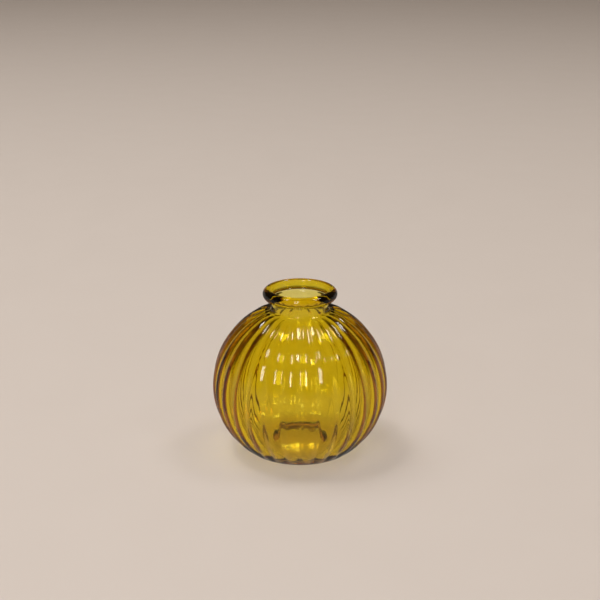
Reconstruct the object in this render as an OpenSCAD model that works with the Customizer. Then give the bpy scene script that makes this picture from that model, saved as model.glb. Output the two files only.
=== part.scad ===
// Ribbed globe bud vase in amber glass. Millimetres, +Z up.
// The origin is the centre of the resting plane, on the vase's axis.
//
// The real vase is one piece of moulded glass. It is drawn here in the zones that a
// glassmaker names: base, heel, lower body, upper body, shoulder, neck and rim. Each
// zone is a closed solid that meets its neighbours face to face.

/* [Globe] */
// Outside diameter over the rib crests
globe_d = 85; // [78:0.5:90]
// Height of the widest line above the table
widest_z = 32.7; // [31:0.1:34]
// Half height of the globe's outline above the widest line
upper_half_h = 41.9; // [41:0.1:43]
// Half height of the globe's outline below the widest line
lower_half_h = 40.1; // [39:0.1:42]

/* [Ribs] */
// Number of ribs round the globe
rib_count = 28; // [20:4:36]
// Depth of the valleys between ribs at the widest line
rib_depth = 1.4; // [0.5:0.1:1.5]

/* [Glass thickness] */
// Wall thickness at the widest line
wall = 3; // [2.8:0.1:3.6]
// Height of the inside floor's lowest ring above the table
floor_t = 3.6; // [3:0.1:4.2]

/* [Base] */
// Outside diameter of the flat ring that the vase rests on
foot_d = 46; // [45:0.5:47]
// Diameter of the hollow pushed up under the base
push_up_d = 30; // [26:1:32]
// Height of that hollow on the axis
push_up_h = 4.6; // [1.5:0.1:5]

/* [Neck and rim] */
// Height of the whole vase
vase_h = 81.5; // [81:0.1:82.5]
// Outside diameter of the neck
neck_d = 27.4; // [27:0.2:28]
// Diameter of the bore through the neck
bore_d = 24; // [23:0.2:24.6]
// Outside diameter of the rolled rim
rim_d = 35.8; // [35:0.2:37]
// Thickness of the rolled bead round the rim
bead_d = 5.3; // [5:0.1:5.6]

/* [Hidden] */
amber = [0.80, 0.62, 0.08, 0.6];

globe_r = globe_d / 2;
inside_r = globe_r - wall;
neck_r = neck_d / 2;
bore_r = bore_d / 2;
foot_r = foot_d / 2;
push_up_r = push_up_d / 2;
bead_r = bead_d / 2;
bead_centre_r = rim_d / 2 - bead_r;
bead_centre_z = vase_h - bead_r;

// The zones part at these heights, and the base ends at this radius.
heel_top_z = 12;
shoulder_z = 54;
lip_z = vase_h - 6.1;
base_r = 18.5;

// The shoulder leaves the globe's outline here and flattens towards the neck.
crown_r = 21.5;
crown_z = widest_z + upper_half_h * sqrt(1 - pow(crown_r / globe_r, 2));

// Radius of the small curve where the neck stands up from the shoulder.
root_curve = 1.5;
root_r = neck_r + root_curve;

// The inside is one wall thickness within the globe's outline, above and below.
inside_upper_h = upper_half_h - wall;
inside_lower_h = lower_half_h - wall;
bore_z = widest_z + inside_upper_h * sqrt(1 - pow(bore_r / inside_r, 2));

// The neck's root is at its own height, and always above the globe and the bore's foot.
root_z = max(vase_h - 10.9, crown_z + 1.2, bore_z + 0.8);

// The inside wall turns into the floor in a curve between these two points.
corner_z = floor_t + 2.1;
floor_r = base_r + 0.5;

// Fineness of the mesh: points across one rib, rows in a zone, steps in a small curve.
points_per_rib = 4;
row_h = 3.2;
curve_steps = 10;
around = rib_count * points_per_rib;
fine = 96;

// Outline of the rib crests at height z: two half ellipses that share the widest line.
function crest_r(z) =
    let (half_h = z > widest_z ? upper_half_h : lower_half_h)
    globe_r * sqrt(1 - pow((z - widest_z) / half_h, 2));

// Outline of the inside at height z: two half ellipses as well.
function inner_r(z) =
    let (half_h = z > widest_z ? inside_upper_h : inside_lower_h)
    inside_r * sqrt(1 - pow((z - widest_z) / half_h, 2));

// A curve from a to b that leaves a towards the corner c and arrives at b from it.
function blend(a, c, b, n) =
    [for (i = [0:n]) let (t = i / n) pow(1 - t, 2) * a + 2 * t * (1 - t) * c + t * t * b];

// Each rib is an arc of one circle. lobe_c is how far out that circle's centre lies, as a
// share of the crest radius, so that the arcs meet in valleys of the stated depth.
valley = 1 - rib_depth / globe_r;
half_rib = 180 / rib_count;
lobe_c = (1 - pow(valley, 2)) / (2 * (1 - valley * cos(half_rib)));
lobe_r = 1 - lobe_c;

// Share of the crest radius at angle a, with a valley straight in front at -Y.
function rib_share(a) =
    let (turn = a + 90,
         off = turn - half_rib * (2 * floor(turn / (2 * half_rib)) + 1))
    lobe_c * cos(off) + sqrt(pow(lobe_r, 2) - pow(lobe_c * sin(off), 2));

// Heights from lo to hi in even steps of about row_h.
function rows(lo, hi) =
    let (n = max(1, ceil((hi - lo) / row_h)))
    [for (i = [0:n]) lo + (hi - lo) * i / n];

function reversed(v) = [for (i = [len(v) - 1:-1:0]) v[i]];

// A profile point is [radius, height, rib, sink]. The valleys are pressed in towards the axis
// where rib is 1, and also pressed down where sink is above 0, as on the flat of the
// shoulder. The outer wall runs up and the inner wall runs down, so the loop closes.
function outer_wall(lo, hi) = [for (z = rows(lo, hi)) [crest_r(z), z, 1, 0]];
function inner_wall(lo, hi) = reversed([for (z = rows(lo, hi)) [inner_r(z), z, 0, 0]]);

// A closed ring swept from a closed profile, with the ribs pressed into its rib points.
module ribbed_ring(profile) {
    n = len(profile);
    points = [
        for (i = [0:around - 1])
            let (a = -90 + 360 * i / around, share = rib_share(a))
            for (p = profile)
                let (press = p[0] * (1 - share), r = p[0] - p[2] * press)
                [r * cos(a), r * sin(a), p[1] - p[3] * press]
    ];
    faces = [
        for (i = [0:around - 1], j = [0:n - 1])
            let (here = i * n, next = (i + 1) % around * n, k = (j + 1) % n)
            for (f = [[here + j, here + k, next + k], [here + j, next + k, next + j]])
                f
    ];
    polyhedron(points = points, faces = faces, convexity = 6);
}

// The domed floor of the vase, with its hollow underside and part of the flat ring.
module base() {
    color(amber)
    rotate_extrude($fn = fine)
    polygon(concat(
        [for (i = [0:curve_steps])
            let (t = i / curve_steps)
            [push_up_r * t, push_up_h * (1 - pow(t, 4))]],
        [[base_r, 0], [base_r, floor_t]],
        [for (i = [curve_steps:-1:0])
            let (t = i / curve_steps)
            [(base_r - 1) * t, floor_t + push_up_h * (1 - pow(t, 4))]]
    ));
}

// The turn from the resting ring into the wall, where the ribs run out under the globe.
// It starts a hair outside the base, so that its flats never cut into that round edge.
module heel() {
    gap = base_r / cos(180 / around);
    side = [for (z = rows(1, heel_top_z)) [crest_r(z), z, 1, 0]];
    start = [inner_r(corner_z), corner_z];
    slope = pow(inside_r / inside_lower_h, 2) * (widest_z - corner_z) / start[0];
    corner = [start[0] - slope * (corner_z - floor_t), floor_t];
    turn = blend(start, corner, [floor_r, floor_t], 4);
    color(amber)
    ribbed_ring(concat(
        [[gap, 0, 0, 0], [foot_r, 0, 0, 0], [foot_r + 1, 0.25, 0, 0]],
        side,
        inner_wall(corner_z, heel_top_z),
        [for (i = [1:4]) [turn[i][0], turn[i][1], 0, 0]],
        [[gap, floor_t, 0, 0]]
    ));
}

// The ribbed wall from the heel to the widest line.
module body_lower() {
    color(amber)
    ribbed_ring(concat(outer_wall(heel_top_z, widest_z), inner_wall(heel_top_z, widest_z)));
}

// The ribbed wall from the widest line to the shoulder.
module body_upper() {
    color(amber)
    ribbed_ring(concat(outer_wall(widest_z, shoulder_z), inner_wall(widest_z, shoulder_z)));
}

// The ribbed wall as it closes in to the neck. Its ribs run in to the foot of the neck,
// and it has a seat inside for the neck's lower end.
module shoulder() {
    rise = rows(shoulder_z, crown_z);
    slope = pow(upper_half_h / globe_r, 2) * crown_r / (crown_z - widest_z);
    corner = [crown_r - (root_z - 0.1 - crown_z) / slope, root_z - 0.1];
    crown = blend([crown_r, crown_z], corner, [root_r, root_z], 5);
    seat_r = neck_r / cos(180 / around);
    color(amber)
    ribbed_ring(concat(
        [for (z = rise) [crest_r(z), z, 1, (z - shoulder_z) / (crown_z - shoulder_z)]],
        [for (i = [1:3]) [crown[i][0], crown[i][1], 1, 1]],
        [[crown[4][0], crown[4][1], 0.6, 0.6]],
        [[root_r, root_z, 0, 0], [seat_r, root_z, 0, 0], [seat_r, bore_z, 0, 0]],
        inner_wall(shoulder_z, bore_z)
    ));
}

// The short neck: a plain tube that flares into the shoulder at its root.
module neck() {
    color(amber)
    rotate_extrude($fn = fine)
    polygon(concat(
        [[bore_r, bore_z], [neck_r, bore_z], [neck_r, root_z]],
        [for (i = [0:curve_steps])
            let (a = 90 * i / curve_steps)
            [root_r - root_curve * sin(a), root_z + root_curve * (1 - cos(a))]],
        [[neck_r, lip_z], [bore_r, lip_z]]
    ));
}

// The rolled rim: a round bead outside, and a lip that flares up and out of the bore.
module rim() {
    bead_start = -acos((neck_r - bead_centre_r) / bead_r);
    bead_steps = 3 * curve_steps;
    lip_r = bead_centre_r - 1.65;
    color(amber)
    rotate_extrude($fn = fine)
    polygon(concat(
        [[bore_r, lip_z], [neck_r, lip_z]],
        [for (i = [0:bead_steps])
            let (a = bead_start + (90 - bead_start) * i / bead_steps)
            [bead_centre_r + bead_r * cos(a), bead_centre_z + bead_r * sin(a)]],
        [for (i = [1:curve_steps])
            blend([bead_centre_r, vase_h], [lip_r, vase_h], [lip_r, vase_h - 1.3], curve_steps)[i]],
        [for (i = [0:curve_steps - 1])
            blend([lip_r - 0.4, lip_z + 1.8], [bore_r + 0.1, lip_z + 0.8], [bore_r, lip_z],
                curve_steps)[i]]
    ));
}

base();
heel();
body_lower();
body_upper();
shoulder();
neck();
rim();
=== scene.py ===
# %% [markdown]
# # A ribbed globe bud vase in amber glass
#
# The vase is one piece of clear amber glass: a squat ball with twenty-eight upright ribs, a
# short neck, and a rim rolled over into a round bead. Everything that makes it look like
# glass comes from its true shape. The ribs outside, the rippled wall inside and the pushed-up
# base bend the light, so this lesson spends most of its lines on one closed surface.

import bpy
import numpy as np
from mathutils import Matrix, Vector


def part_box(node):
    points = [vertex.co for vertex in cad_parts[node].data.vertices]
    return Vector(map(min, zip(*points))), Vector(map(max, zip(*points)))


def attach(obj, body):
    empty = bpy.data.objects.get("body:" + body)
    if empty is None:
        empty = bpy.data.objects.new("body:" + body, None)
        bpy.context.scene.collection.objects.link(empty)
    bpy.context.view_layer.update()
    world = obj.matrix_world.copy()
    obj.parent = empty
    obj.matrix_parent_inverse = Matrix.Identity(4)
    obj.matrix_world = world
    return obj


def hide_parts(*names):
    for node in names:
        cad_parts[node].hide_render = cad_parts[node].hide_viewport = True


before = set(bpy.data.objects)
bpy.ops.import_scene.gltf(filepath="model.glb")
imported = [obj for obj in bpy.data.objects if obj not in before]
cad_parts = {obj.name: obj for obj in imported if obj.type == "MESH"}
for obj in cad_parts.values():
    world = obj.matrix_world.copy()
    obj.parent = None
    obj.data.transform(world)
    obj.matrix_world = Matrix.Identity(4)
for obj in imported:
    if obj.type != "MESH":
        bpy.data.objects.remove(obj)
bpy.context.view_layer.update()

# %% [markdown]
# ## The camera
#
# The camera comes first, because every later choice is judged through it. It is a short
# telephoto, about the reach of a portrait lens, held two thirds of a metre in front of the
# vase and looking down at it.

# %% Camera
CAMERA_PLACE = (0.0, -0.656, 0.295)
CAMERA_TILT = np.radians(18.5)
CAMERA_LENS = 86.7

camera_data = bpy.data.cameras.new("camera")
camera_data.lens = CAMERA_LENS
camera_data.sensor_width = 36.0
camera_data.clip_start = 0.02
camera_data.clip_end = 50.0
camera = bpy.data.objects.new("camera", camera_data)
camera.location = CAMERA_PLACE
camera.rotation_euler = (np.pi / 2 - CAMERA_TILT, 0.0, 0.0)
bpy.context.scene.collection.objects.link(camera)
bpy.context.scene.camera = camera
print("camera looks down by", round(float(np.degrees(CAMERA_TILT)), 1), "degrees")

# %% [markdown]
# ## Sizes, read off the frame
#
# The CAD model owns the outside sizes. The rim's node gives the height and the bead's reach,
# and the body's nodes give the widest line. With twenty-eight ribs a valley, not a crest,
# points along each axis, so the box of the body is narrower than its crests. Half a rib's
# turn puts that right. A crest is also round, so it reaches farthest a little to one side of
# its top, and ROUND_CREST takes that off again.

# %% Outside sizes
MM = 0.001
RIBS = 28
HALF_RIB = np.pi / RIBS
ROUND_CREST = 0.05 * MM

vase_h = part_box("rim")[1].z
rim_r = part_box("rim")[1].x
bore_foot_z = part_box("neck")[0].z
bore_top_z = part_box("neck")[1].z
widest_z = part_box("body_lower")[1].z
body_r = max(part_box("body_lower")[1].x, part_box("body_upper")[1].x)
crest = body_r / np.cos(HALF_RIB) - ROUND_CREST
print("height", vase_h, "rim radius", rim_r, "widest line at", widest_z, "crest radius", crest)

# %% [markdown]
# Some sizes lie inside the glass or inside a node's box, so the frame can't give them. They
# repeat the numbers of the CAD source.

# %% Sizes that no box shows
UPPER_H = 41.9 * MM
LOWER_H = 40.1 * MM
WALL = 3.0 * MM
FLOOR_T = 3.6 * MM
FLOOR_R = 19.0 * MM
DOME_R = 17.5 * MM
PUSH_UP_R = 15.0 * MM
PUSH_UP_H = 4.6 * MM
FOOT_R = 23.0 * MM
CROWN_R = 21.5 * MM
NECK_R = 13.7 * MM
BORE_R = 12.0 * MM
BEAD_R = 2.65 * MM
ROOT_CURVE = 1.5 * MM
ROOT_R = NECK_R + ROOT_CURVE
ROOT_Z = vase_h - 10.9 * MM
bead_centre = np.array([rim_r - BEAD_R, vase_h - BEAD_R])
print("bead centre at radius and height", bead_centre)

# %% [markdown]
# ## The outline
#
# A vase is turned: half of its outline, spun round the axis, is the whole shape. The outline
# here runs in one line from the middle of the underside, out over the resting ring, up the
# outside, over the rim, down the bore and along the inside to the middle of the floor. Each
# stretch is its own small formula, so a stretch can be changed without touching the rest.


# %% Curve helpers
def blend_curve(start, corner, end, steps):
    """A curve that leaves start towards corner and arrives at end from corner: each point is
    the blend (1-t)^2 start + 2t(1-t) corner + t^2 end, with t running from 0 to 1."""
    t = np.linspace(0, 1, steps)[:, None]
    return (1 - t) ** 2 * np.array(start) + 2 * t * (1 - t) * np.array(corner) + t**2 * np.array(end)


def straight(start, end, steps):
    """Points spread evenly on the line from start to end: (1-t) start + t end."""
    t = np.linspace(0, 1, steps)[:, None]
    return (1 - t) * np.array(start) + t * np.array(end)


def globe_point(angle, inset=0.0):
    """The globe's outline: an ellipse, r = R cos a and z = middle + h sin a, where h is one
    half height above the widest line and another below it. An inset makes all three less."""
    half_h = np.where(angle > 0, UPPER_H, LOWER_H) - inset
    return np.stack([(crest - inset) * np.cos(angle), widest_z + half_h * np.sin(angle)], axis=-1)


def globe_slope(angle, inset=0.0):
    """The direction in which globe_point moves as its angle grows: (-R sin a, h cos a)."""
    half_h = (UPPER_H if angle > 0 else LOWER_H) - inset
    return np.array([-(crest - inset) * np.sin(angle), half_h * np.cos(angle)])


def meet_height(point, slope, height):
    """Where the line from point along slope reaches height: point + slope (height - z) / rise."""
    return point + slope * (height - point[1]) / slope[1]


# %% [markdown]
# The foot is a flat ring. Inside it the base is pushed up in a low dome with a steep edge,
# which keeps the middle off the table and shows through the wall as a dark line. The dome
# falls off with the fourth power of the radius: nearly flat on top, steep at the edge. It
# stops just short of its full radius, where a small curve turns it onto the ring.

# %% The foot and the globe
STEEP = 4
RING_EDGE = 1.0 * MM
HEEL_Z = 1.5 * MM
DOME_SHARE = 0.96

push_t = np.linspace(0, DOME_SHARE, 14)
push_up = np.stack([PUSH_UP_R * push_t, PUSH_UP_H * (1 - push_t**STEEP)], axis=-1)
ring_start = (PUSH_UP_R + RING_EDGE, 0)
push_edge = blend_curve(push_up[-1], (PUSH_UP_R, 0), ring_start, steps=6)
ring = straight(ring_start, (FOOT_R, 0), steps=4)

heel_angle = np.arcsin((HEEL_Z - widest_z) / LOWER_H)
table_r = crest * np.sqrt(1 - (widest_z / LOWER_H) ** 2)
heel = blend_curve((FOOT_R, 0), (table_r, 0), globe_point(heel_angle), steps=9)
crown_angle = np.arccos(CROWN_R / crest)
globe = globe_point(np.linspace(heel_angle, crown_angle, 66))
print("the globe's outline runs from", globe[0], "to", globe[-1])

# %% [markdown]
# Near the neck the shoulder leaves the ball's curve and runs in almost flat, and the neck
# stands up from it in a small, sharp curve. The bead is the glass of the lip rolled back on
# itself: most of a circle, joined to the neck underneath by a small hollow.

# %% The shoulder's top, the neck and the bead
CROWN_DIP = 0.1 * MM
BEAD_SINK = 0.1 * MM
BEAD_JOIN_TURN = 0.25
HOLLOW_DROP = 0.25 * MM
NECK_PLAIN = 0.6 * MM

crown_corner = meet_height(globe[-1], globe_slope(crown_angle), ROOT_Z - CROWN_DIP)
crown = blend_curve(globe[-1], crown_corner, (ROOT_R, ROOT_Z), steps=12)
neck_foot = np.array([NECK_R, ROOT_Z + ROOT_CURVE])
root = blend_curve((ROOT_R, ROOT_Z), (NECK_R, ROOT_Z), neck_foot, steps=6)

bead_start = BEAD_JOIN_TURN - np.arccos((NECK_R - BEAD_SINK - bead_centre[0]) / BEAD_R)
bead_angle = np.linspace(bead_start, np.pi / 2, 29)
bead = bead_centre + BEAD_R * np.stack([np.cos(bead_angle), np.sin(bead_angle)], axis=-1)
under_bead_corner = (NECK_R, bead[0][1] - HOLLOW_DROP)
under_bead = blend_curve(neck_foot + [0, NECK_PLAIN], under_bead_corner, bead[0], steps=8)
print("the neck shows", round((bead[0][1] - neck_foot[1]) / MM, 1), "mm tall below the bead")

# %% [markdown]
# Inside, the lip flares down from the bead's top into a straight bore. Below the bore the
# inside is a smaller globe, one wall within the crests, as far as the floor, which it meets
# in a curve. Its ripples are added further on. The floor follows the dome of the push-up,
# because glass that is pressed up from below rises on both sides.

# %% The inside
LIP_R = 13.6 * MM
LIP_FOOT_R = 13.2 * MM
UNDER_NECK_R = 14.2 * MM
CORNER_RISE = 2.1 * MM
LIP_EDGE_DOWN = 1.3 * MM
LIP_SIDE_DOWN = 2.9 * MM
LIP_FOOT_DOWN = 4.3 * MM
LIP_ROOT_RISE = 0.8 * MM
BORE_FOOT_RISE = 1.2 * MM
UNDER_NECK_RISE = 0.5 * MM

lip_edge = (LIP_R, vase_h - LIP_EDGE_DOWN)
lip_foot = (LIP_FOOT_R, vase_h - LIP_FOOT_DOWN)
bore_top = (BORE_R, bore_top_z)
bore_foot = (BORE_R, bore_foot_z + BORE_FOOT_RISE)
lip_top_corner = (LIP_R + 0.1 * MM, vase_h)
lip_side_corner = (LIP_R - 0.15 * MM, vase_h - LIP_SIDE_DOWN)
lip_top = blend_curve((bead_centre[0], vase_h), lip_top_corner, lip_edge, steps=8)
lip_side = blend_curve(lip_edge, lip_side_corner, lip_foot, steps=6)
lip_root = blend_curve(lip_foot, (BORE_R, bore_top_z + LIP_ROOT_RISE), bore_top, steps=7)
bore = straight(bore_top, bore_foot, steps=6)

under_angle = np.arccos(UNDER_NECK_R / (crest - WALL))
corner_angle = -np.arcsin((widest_z - FLOOR_T - CORNER_RISE) / (LOWER_H - WALL))
inside_wall = globe_point(np.linspace(under_angle, corner_angle, 60), WALL)
under_neck_corner = (BORE_R, inside_wall[0][1] + UNDER_NECK_RISE)
under_neck = blend_curve(bore_foot, under_neck_corner, inside_wall[0], steps=8)
floor_corner = meet_height(inside_wall[-1], globe_slope(corner_angle, WALL), FLOOR_T)
corner = blend_curve(inside_wall[-1], floor_corner, (FLOOR_R, FLOOR_T), steps=9)
dome_t = np.linspace(1, 0, 12)
dome = np.stack([DOME_R * dome_t, FLOOR_T + PUSH_UP_H * (1 - dome_t**STEEP)], axis=-1)
print("the glass is", round((dome[-1][1] - push_up[0][1]) / MM, 1), "mm thick at the middle")

# %% The whole outline
outside = [push_up, push_edge[1:], ring[1:], heel[1:], globe[1:], crown[1:], root[1:]]
outside = outside + [under_bead, bead[1:]]
inside = [lip_top[1:], lip_side[1:], lip_root[1:], bore[1:], under_neck[1:], inside_wall[1:]]
inside = inside + [corner[1:], dome]
outline = np.vstack(outside + inside)
is_inside = np.arange(len(outline)) >= sum(len(stretch) for stretch in outside)
print("the outline has", len(outline), "points, the first", outline[0], "and the last", outline[-1])

# %% [markdown]
# ## The ribs
#
# Each rib is an arc, like a reed: it stands proud in the middle and meets its neighbour in a
# narrow valley. Ribs come out of a mould with their valleys melted a little round, so the
# sharp V between two arcs is softened.

# %% Rib shape
RIB_DEPTH = 1.4 * MM
VALLEY_SOFTNESS = 0.10


def rib_valley(turn):
    """How deep the surface lies below the crests, from 0 on a crest to 1 in a valley. With v
    the distance from the nearest valley in half ribs, softened to sqrt(v^2 + s^2), the depth
    is 1 - (2v - v^2), the fall of a shallow arc."""
    from_valley = np.abs((turn / (2 * HALF_RIB) + 0.5) % 1 - 0.5) * 2
    soft = np.sqrt(from_valley**2 + VALLEY_SOFTNESS**2)
    soft = np.minimum(soft / np.sqrt(1 + VALLEY_SOFTNESS**2), 1)
    return 1 - (2 * soft - soft**2)


def smooth_step(value, low, high):
    """0 below low, 1 above high, and the curve 3t^2 - 2t^3 between them."""
    t = np.clip((value - low) / (high - low), 0, 1)
    return t * t * (3 - 2 * t)


# %% [markdown]
# The outline is spun into a grid of points, one row for each point of the outline and
# fourteen columns for each rib. The valleys get shallower as the ribs get narrower. They
# fade out at the resting ring, and stop at the foot of the neck.

# %% Spin the outline
COLUMNS_PER_RIB = 14
FOOT_FADE = 5.0 * MM
ROOT_MARGIN = 0.3 * MM
NECK_FADE = 1.2 * MM

AROUND = RIBS * COLUMNS_PER_RIB
turn = np.arange(AROUND) * 2 * np.pi / AROUND
radius, height = outline[1:-1, 0][:, None], outline[1:-1, 1][:, None]
inner = is_inside[1:-1][:, None]

fade_foot = smooth_step(height, 0.0, FOOT_FADE)
below_neck = height < ROOT_Z + ROOT_MARGIN
fade_neck = smooth_step(radius, ROOT_R - ROOT_MARGIN, ROOT_R + NECK_FADE) * below_neck
valleys = RIB_DEPTH * radius / crest * fade_foot * fade_neck * rib_valley(turn)[None, :]
press = np.where(inner, 0, valleys)
print("the valleys are", round(press.max() / MM, 2), "mm deep at the widest line")

# %% [markdown]
# The inside is smoother than the outside, but not smooth. Glass blown against a ribbed mould
# keeps a soft echo of the ribs within, here a plain cosine wave that stands in under each
# valley. Its wall also drifts a little thicker and thinner on the way round. Both bend what
# is seen through the vase, which gives moulded glass its wavering dark lines.

# %% The echo and the drift inside
ECHO = 0.5
DRIFT = 0.003
RIPPLE_FROM = (6 * MM, 12 * MM)
RIPPLE_TO = (60 * MM, 67 * MM)
TWIST_PER_M = 60

in_body = smooth_step(height, *RIPPLE_FROM) * (1 - smooth_step(height, *RIPPLE_TO))
echo = ECHO * RIB_DEPTH * in_body * 0.5 * (1 + np.cos(RIBS * turn))[None, :]
wander = np.sin(turn + 0.7) + 0.5 * np.sin(3 * turn + TWIST_PER_M * height + 1.9)
drift = DRIFT * radius * in_body * wander
ripple = np.where(inner, echo - drift, 0)
print("the wall varies by", round((ripple.max() - ripple.min()) / MM, 2), "mm inside")

# %% [markdown]
# The valleys are pressed in square to the surface, so they stay clear on the flat of the
# shoulder as well. A line along the outline is (dr, dz), so the direction that faces out of
# the glass is (dz, -dr).

# %% Place every point
along = np.gradient(outline, axis=0)[1:-1]
along = along / np.linalg.norm(along, axis=1)[:, None]
along_r, along_z = along[:, 0][:, None], along[:, 1][:, None]
spread = radius - press * along_z - ripple
level = height + press * along_r
grid = np.stack([spread * np.sin(turn), -spread * np.cos(turn), level], axis=-1)
print("the grid is", grid.shape[0], "rows by", grid.shape[1], "columns")

# %% [markdown]
# Glass needs a closed surface, because the renderer has to know at each crossing whether the
# light is entering or leaving. So the rings are joined all the way round, and each end of the
# outline is closed with a fan of triangles to a point on the axis.


# %% Close the grid into a mesh
def closed_mesh(name, rows, first_pole, last_pole):
    """A closed mesh from rings of points: four-sided faces join each ring to the next, and a
    fan of three-sided faces joins the first and last rings to their poles."""
    count, around, _ = rows.shape
    points = np.vstack([rows.reshape(-1, 3), first_pole, last_pole])
    here = np.arange(around)
    after = (here + 1) % around
    row = np.arange(count - 1)[:, None] * around
    quads = np.stack([row + here, row + after, row + around + after, row + around + here], axis=-1)
    first, last = count * around, count * around + 1
    last_row = (count - 1) * around
    first_fan = np.stack([np.full(around, first), after, here], axis=-1)
    last_fan = np.stack([np.full(around, last), last_row + here, last_row + after], axis=-1)
    faces = quads.reshape(-1, 4).tolist() + first_fan.tolist() + last_fan.tolist()
    mesh = bpy.data.meshes.new(name)
    mesh.from_pydata(points.tolist(), [], faces)
    mesh.polygons.foreach_set("use_smooth", np.ones(len(mesh.polygons), dtype=bool))
    mesh.update()
    return mesh


vase_mesh = closed_mesh("amber_vase", grid, [0, 0, outline[0, 1]], [0, 0, outline[-1, 1]])
vase = bpy.data.objects.new("amber_vase", vase_mesh)
bpy.context.scene.collection.objects.link(vase)
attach(vase, "root")
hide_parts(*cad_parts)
print("the vase has", sum(len(face.vertices) - 2 for face in vase_mesh.polygons), "triangles")

# %% [markdown]
# ## Shader sums as expressions
#
# A pattern is easier to read as a sum than as a web of nodes. This small class holds one
# socket. Adding to it or multiplying it adds the Math node for that step, and its one method
# for everything else, node, adds a node of any kind.


# %% Socket class
class Shade:
    """One output of a shader node, which takes part in sums as a number does."""

    def __init__(self, tree, socket=None):
        self.tree, self.socket = tree, socket

    def node(self, kind, inputs=None, output=0, **settings):
        """Adds any node: its settings are set first, then its inputs, by link or by value."""
        made = self.tree.nodes.new(kind)
        for key, value in settings.items():
            setattr(made, key, value)
        for key, value in (inputs or {}).items():
            if isinstance(value, Shade):
                self.tree.links.new(value.socket, made.inputs[key])
            else:
                made.inputs[key].default_value = value
        return Shade(self.tree, made.outputs[output] if len(made.outputs) else None)

    def __add__(self, other):
        return self.node("ShaderNodeMath", {0: self, 1: other}, operation="ADD")

    def __mul__(self, other):
        return self.node("ShaderNodeMath", {0: self, 1: other}, operation="MULTIPLY")

    __radd__ = __add__
    __rmul__ = __mul__


def new_tree(owner):
    """Switches a material or a world to nodes, empties them, and starts an expression."""
    owner.use_nodes = True
    owner.node_tree.nodes.clear()
    return Shade(owner.node_tree)


print("sums such as 0.7 * swell + 0.3 * drag now build their own nodes")

# %% [markdown]
# ## Amber glass
#
# Glass has almost no colour at its surface. Its colour grows with the depth of glass that the
# light crosses, so the wall is gold where it is thin and brown where a ray runs along it. A
# Volume Absorption inside a clear surface does exactly that. Its density is per metre, so a
# few millimetres of wall need a large number. The surface is smooth, with broad faint swells,
# finer drag marks that a squeezed pattern stretches upright, and a soft bloom in patches
# where hands touch it.

# %% Amber glass material
AMBER_TINT = (0.965, 0.91, 0.05, 1.0)
TINT_DENSITY = 800.0
UPRIGHT_STRETCH = (1.0, 1.0, 0.18)

amber = bpy.data.materials.new("amber_glass")
s = new_tree(amber)
place = s.node("ShaderNodeTexCoord", output="Object")
upright = s.node("ShaderNodeMapping", {"Vector": place, "Scale": UPRIGHT_STRETCH}, vector_type="POINT")
drag = s.node("ShaderNodeTexNoise", {"Vector": upright, "Scale": 160.0, "Detail": 2.0})
swell = s.node("ShaderNodeTexNoise", {"Vector": place, "Scale": 45.0, "Detail": 1.0})
touch = s.node("ShaderNodeTexNoise", {"Vector": place, "Scale": 90.0, "Detail": 4.0})
bloom = s.node(
    "ShaderNodeMapRange",
    {"Value": touch, "From Min": 0.5, "From Max": 0.75, "To Min": 0.004, "To Max": 0.03},
)
relief = 0.7 * swell + 0.3 * drag
bump = s.node("ShaderNodeBump", {"Height": relief, "Strength": 0.5, "Distance": 0.0006})
surface = s.node(
    "ShaderNodeBsdfPrincipled",
    {
        "Base Color": (1.0, 1.0, 1.0, 1.0),
        "Roughness": bloom,
        "IOR": 1.5,
        "Transmission Weight": 1.0,
        "Normal": bump,
    },
)
depth = s.node("ShaderNodeVolumeAbsorption", {"Color": AMBER_TINT, "Density": TINT_DENSITY})
s.node("ShaderNodeOutputMaterial", {"Surface": surface, "Volume": depth})
vase_mesh.materials.append(amber)
print("amber glass has", len(amber.node_tree.nodes), "nodes")

# %% [markdown]
# ## The floor
#
# A plain pale floor of warm grey paint, with a fine grain in its gloss. It lies a tenth of a
# millimetre below the vase, so that the resting ring and the floor stay two surfaces. Glass
# on a pale table mirrors the table as a grey veil over its colour. A photographer lays black
# cloth just out of view against that. Here the floor is simply hidden from mirrored rays,
# and is still seen through the glass.

# %% Floor
FLOOR_HALF = 4.0
FLOOR_GAP = 0.1 * MM
WARM_GREY = (0.65, 0.582, 0.53, 1.0)

floor_corners = np.array([(-1, -1, 0), (1, -1, 0), (1, 1, 0), (-1, 1, 0)]) * FLOOR_HALF
floor_corners = floor_corners - [0, 0, FLOOR_GAP]
floor_mesh = bpy.data.meshes.new("floor")
floor_mesh.from_pydata(floor_corners.tolist(), [], [(0, 1, 2, 3)])
floor = bpy.data.objects.new("floor", floor_mesh)
bpy.context.scene.collection.objects.link(floor)
floor.visible_glossy = False

paint = bpy.data.materials.new("pale_paint")
s = new_tree(paint)
place = s.node("ShaderNodeTexCoord", output="Object")
grain = s.node("ShaderNodeTexNoise", {"Vector": place, "Scale": 30.0, "Detail": 5.0})
paint_surface = s.node(
    "ShaderNodeBsdfPrincipled",
    {"Base Color": WARM_GREY, "Roughness": 0.2 * grain + 0.45},
)
s.node("ShaderNodeOutputMaterial", {"Surface": paint_surface})
floor_mesh.materials.append(paint)
print("the floor is", 2 * FLOOR_HALF, "metres across")

# %% [markdown]
# ## Light
#
# Each highlight on the vase is the picture of a lamp, so the lamps are placed by where their
# pictures belong. A tall window with a bar across it stands a little left of the camera, and
# gives each front rib a long strip with a short one above it. Two lamps overhead brighten
# the shoulder, and a small one to the right gives a single spark. A large lamp that the vase
# doesn't mirror brightens the floor.
#
# Light that bends through glass is found by a renderer only by chance, so the vase would
# stand in a full black shadow. So every lamp is made as two in one place: one that the vase
# shades, and one whose light passes it by. The shadow comes out soft and half deep.

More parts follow.
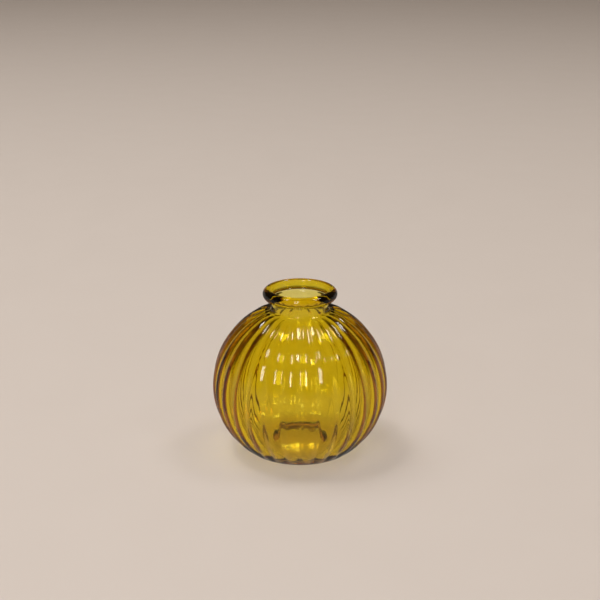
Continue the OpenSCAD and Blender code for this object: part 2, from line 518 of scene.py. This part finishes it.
# %% Lamps
THROUGH = 0.5
LAMP_FAR = 2.3
AIM = np.array([0, 0, 0.04])
WINDOW_WHITE = (1.0, 0.96, 0.97)
SPARK_WHITE = (1.0, 0.98, 0.96)
LAMP_WHITE = (1.0, 0.98, 0.94)

passed_by = bpy.data.collections.new("passed_by")
passed_by.objects.link(vase)
passed_by.collection_objects[0].light_linking.link_state = "EXCLUDE"


def lamp_pair(name, azimuth, elevation, size, power, colour, mirrored=True):
    """Two rectangular lamps of that width and height in one place, turned to face the vase.
    The place is given by its compass direction, counted to the right of the camera, and its
    height above the table, both in degrees: AIM + far (sin a cos e, -cos a cos e, sin e)."""
    a, e = np.radians(azimuth), np.radians(elevation)
    place = AIM + LAMP_FAR * np.array([np.sin(a) * np.cos(e), -np.cos(a) * np.cos(e), np.sin(e)])
    for part, share in (("shaded", 1 - THROUGH), ("through", THROUGH)):
        data = bpy.data.lights.new(name + "_" + part, "AREA")
        data.shape = "RECTANGLE"
        data.size, data.size_y = size
        data.energy = power * share
        data.color = colour
        lamp = bpy.data.objects.new(name + "_" + part, data)
        lamp.location = place
        lamp.rotation_euler = Vector(AIM - place).to_track_quat("-Z", "Y").to_euler()
        bpy.context.scene.collection.objects.link(lamp)
        if part == "through":
            lamp.light_linking.blocker_collection = passed_by
        if not mirrored:
            lamp.light_linking.receiver_collection = passed_by
    print(name, "stands at", np.round(place, 2))


lamp_pair("window_low", -14, 27, (0.5, 0.75), 11.0, WINDOW_WHITE)
lamp_pair("window_high", -14, 53, (0.5, 0.40), 5.0, WINDOW_WHITE)
lamp_pair("spark", 50, 45, (0.2, 0.25), 3.0, SPARK_WHITE)
lamp_pair("overhead_left", -90, 71, (0.5, 0.4), 9.0, LAMP_WHITE)
lamp_pair("overhead_right", 102, 62, (0.7, 0.5), 12.0, LAMP_WHITE)
lamp_pair("fill", -120, 65, (1.2, 1.2), 26.0, SPARK_WHITE, mirrored=False)

# %% [markdown]
# The room is a plain glow that changes with height: pale below the horizon, and dark brown
# from about twelve degrees above it. Glass shows its shape by the dark that it mirrors and
# bends, so a room that was pale all round would wash the rib lines out. The view transform
# is Standard, which leaves the amber at full strength.

# %% Room
PALE_WALL = (0.30, 0.265, 0.235, 1.0)
DARK_BROWN = (0.075, 0.045, 0.02, 1.0)
DARK_FROM = 0.2
FIRST_COLOUR, SECOND_COLOUR, MIXED_COLOUR = 6, 7, 2

world = bpy.data.worlds.new("room")
bpy.context.scene.world = world
s = new_tree(world)
look = s.node("ShaderNodeTexCoord", output="Generated")
upward = s.node("ShaderNodeSeparateXYZ", {"Vector": look}, output="Z")
climb = s.node("ShaderNodeMapRange", {"Value": upward, "From Min": 0.0, "From Max": DARK_FROM})
glow = s.node(
    "ShaderNodeMix",
    {"Factor": climb, FIRST_COLOUR: PALE_WALL, SECOND_COLOUR: DARK_BROWN},
    output=MIXED_COLOUR,
    data_type="RGBA",
)
sky = s.node("ShaderNodeBackground", {"Color": glow})
s.node("ShaderNodeOutputWorld", {"Surface": sky})
bpy.context.scene.view_settings.view_transform = "Standard"
print("the room has", len(world.node_tree.nodes), "nodes")
